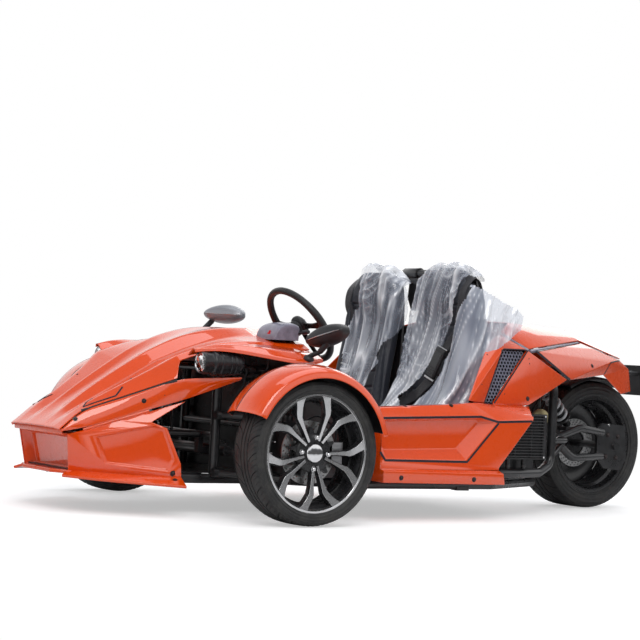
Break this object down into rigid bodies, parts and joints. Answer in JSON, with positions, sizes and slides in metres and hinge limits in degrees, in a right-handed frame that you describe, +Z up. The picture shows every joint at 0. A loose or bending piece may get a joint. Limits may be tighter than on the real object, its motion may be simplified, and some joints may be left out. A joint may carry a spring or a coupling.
{
  "type": "three wheeled car",
  "caption": "Open two-seat roadster on three wheels with faceted orange panels, cycle fenders on the steered front wheels, a tube frame and a single driven rear wheel.",
  "frame": {"origin": "on the ground under the middle of the bounding box", "axes": "+X forward, +Y to the driver's left, +Z up"},
  "size_m": [3.096, 1.704, 1.033],
  "materials": {
    "orange_gloss": "gloss",
    "frame_black": "satin",
    "tyre_rubber": "matte",
    "machined_alloy": "satin",
    "disc_steel": "satin",
    "knuckle_steel": "satin",
    "spring_grey": "gloss",
    "seat_leather": "satin",
    "black_plastic": "matte",
    "pod_grey": "gloss",
    "lamp_black": "gloss",
    "radiator_alloy": "matte",
    "engine_iron": "matte"
  },
  "bodies": {
    "chassis": {"bulkhead": "frame_black", "console": "black_plastic", "dashboard": "black_plastic", "driver_seat": "seat_leather", "engine_block": "engine_iron", "floor_pan": "frame_black", "floor_rails": "frame_black", "front_frame": "frame_black", "front_left_shock": "spring_grey", "front_left_wishbones": "frame_black", "front_right_shock": "spring_grey", "front_right_wishbones": "frame_black", "hood": "orange_gloss", "instrument_pod": "pod_grey", "left_brow": "orange_gloss", "left_headlamp": "lamp_black", "left_hood_strip": "orange_gloss", "left_mirror": "black_plastic", "left_quarter_panel": "orange_gloss", "left_radiator": "radiator_alloy", "left_sill": "orange_gloss", "left_tail_panel": "orange_gloss", "nose": "orange_gloss", "passenger_seat": "seat_leather", "pedals": "frame_black", "plate_bracket": "frame_black", "rear_deck": "orange_gloss", "rear_frame": "frame_black", "rear_left_shock": "spring_grey", "rear_right_shock": "spring_grey", "rear_swingarm": "frame_black", "rear_wall": "frame_black", "right_brow": "orange_gloss", "right_headlamp": "lamp_black", "right_hood_strip": "orange_gloss", "right_mirror": "black_plastic", "right_quarter_panel": "orange_gloss", "right_radiator": "radiator_alloy", "right_sill": "orange_gloss", "right_tail_panel": "orange_gloss", "roll_bar": "frame_black", "scuttle": "orange_gloss", "steering_column": "black_plastic"},
    "front_left_knuckle": {"front_left_knuckle": "knuckle_steel", "front_left_fender": "orange_gloss"},
    "front_right_knuckle": {"front_right_knuckle": "knuckle_steel", "front_right_fender": "orange_gloss"},
    "front_left_wheel": {"front_left_tyre": "tyre_rubber", "front_left_rim": "machined_alloy", "front_left_brake_disc": "disc_steel"},
    "front_right_wheel": {"front_right_tyre": "tyre_rubber", "front_right_rim": "machined_alloy", "front_right_brake_disc": "disc_steel"},
    "rear_wheel": {"rear_tyre": "tyre_rubber", "rear_rim": "machined_alloy", "rear_brake_disc": "disc_steel"},
    "steering_wheel": {"steering_wheel": "black_plastic"},
    "steering_rack": {"steering_rack": "knuckle_steel"}
  },
  "joints": [
    {"name": "left_steer", "type": "hinge", "parent": "chassis", "child": "front_left_knuckle", "pos_m": [0.8, 0.61, 0.269], "axis": [0, 0, 1], "range_deg": [-25, 25]},
    {"name": "right_steer", "type": "hinge", "parent": "chassis", "child": "front_right_knuckle", "pos_m": [0.8, -0.61, 0.269], "axis": [0, 0, 1], "range_deg": [-25, 25]},
    {"name": "front_left_spin", "type": "hinge", "parent": "front_left_knuckle", "child": "front_left_wheel", "pos_m": [0.8, 0.738, 0.269], "axis": [0, 1, 0], "continuous": true},
    {"name": "front_right_spin", "type": "hinge", "parent": "front_right_knuckle", "child": "front_right_wheel", "pos_m": [0.8, -0.738, 0.269], "axis": [0, 1, 0], "continuous": true},
    {"name": "rear_spin", "type": "hinge", "parent": "chassis", "child": "rear_wheel", "pos_m": [-1.19, 0, 0.29], "axis": [0, 1, 0], "continuous": true},
    {"name": "steering_turn", "type": "hinge", "parent": "chassis", "child": "steering_wheel", "pos_m": [0.54, 0.262, 0.745], "axis": [-0.788, 0, 0.6157], "range_deg": [-251, 251]},
    {"name": "rack_travel", "type": "slide", "parent": "chassis", "child": "steering_rack", "axis": [0, 1, 0], "range_m": [-0.031, 0.031]}
  ],
  "couplings": [
    {"joint": "right_steer", "follows": "left_steer", "ratio": 1},
    {"joint": "steering_turn", "follows": "left_steer", "ratio": 10},
    {"joint": "rack_travel", "follows": "left_steer", "m_per_rad": 0.07}
  ]
}
